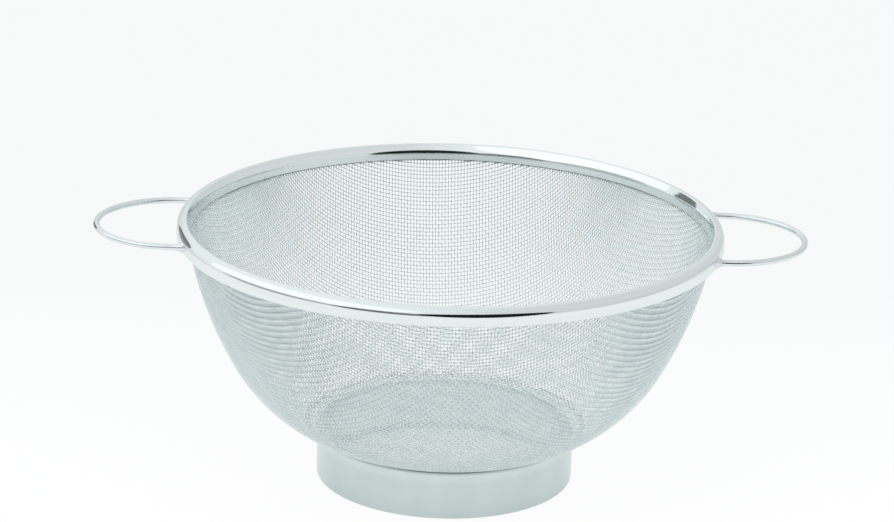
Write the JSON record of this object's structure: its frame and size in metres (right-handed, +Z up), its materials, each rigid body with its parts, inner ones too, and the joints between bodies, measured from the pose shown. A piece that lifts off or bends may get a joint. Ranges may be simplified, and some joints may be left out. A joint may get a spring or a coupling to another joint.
{
  "type": "wire mesh colander",
  "caption": "Round colander with a woven wire cloth bowl in a folded steel rim, wire loop handles at each side and a rolled ring foot, for rinsing and draining food.",
  "frame": {"origin": "centre of the foot ring on the surface that the colander stands on", "axes": "+Z up along the bowl's axis, +X towards the right handle, +Y to the back"},
  "size_m": [0.3136, 0.24, 0.1185],
  "materials": {
    "wire_cloth": "woven bright stainless wire",
    "polished_band": "polished stainless sheet",
    "satin_foot": "softly polished stainless sheet",
    "bright_wire": "bright drawn stainless wire",
    "weld_metal": "small polished weld bead"
  },
  "bodies": {
    "root": {"wire_cloth_bowl": "wire_cloth", "rim_band": "polished_band", "rim_core_wire": "bright_wire", "foot_ring": "satin_foot", "handle_right": "bright_wire", "weld_right_front": "weld_metal", "weld_right_back": "weld_metal", "handle_left": "bright_wire", "weld_left_front": "weld_metal", "weld_left_back": "weld_metal"}
  },
  "joints": []
}
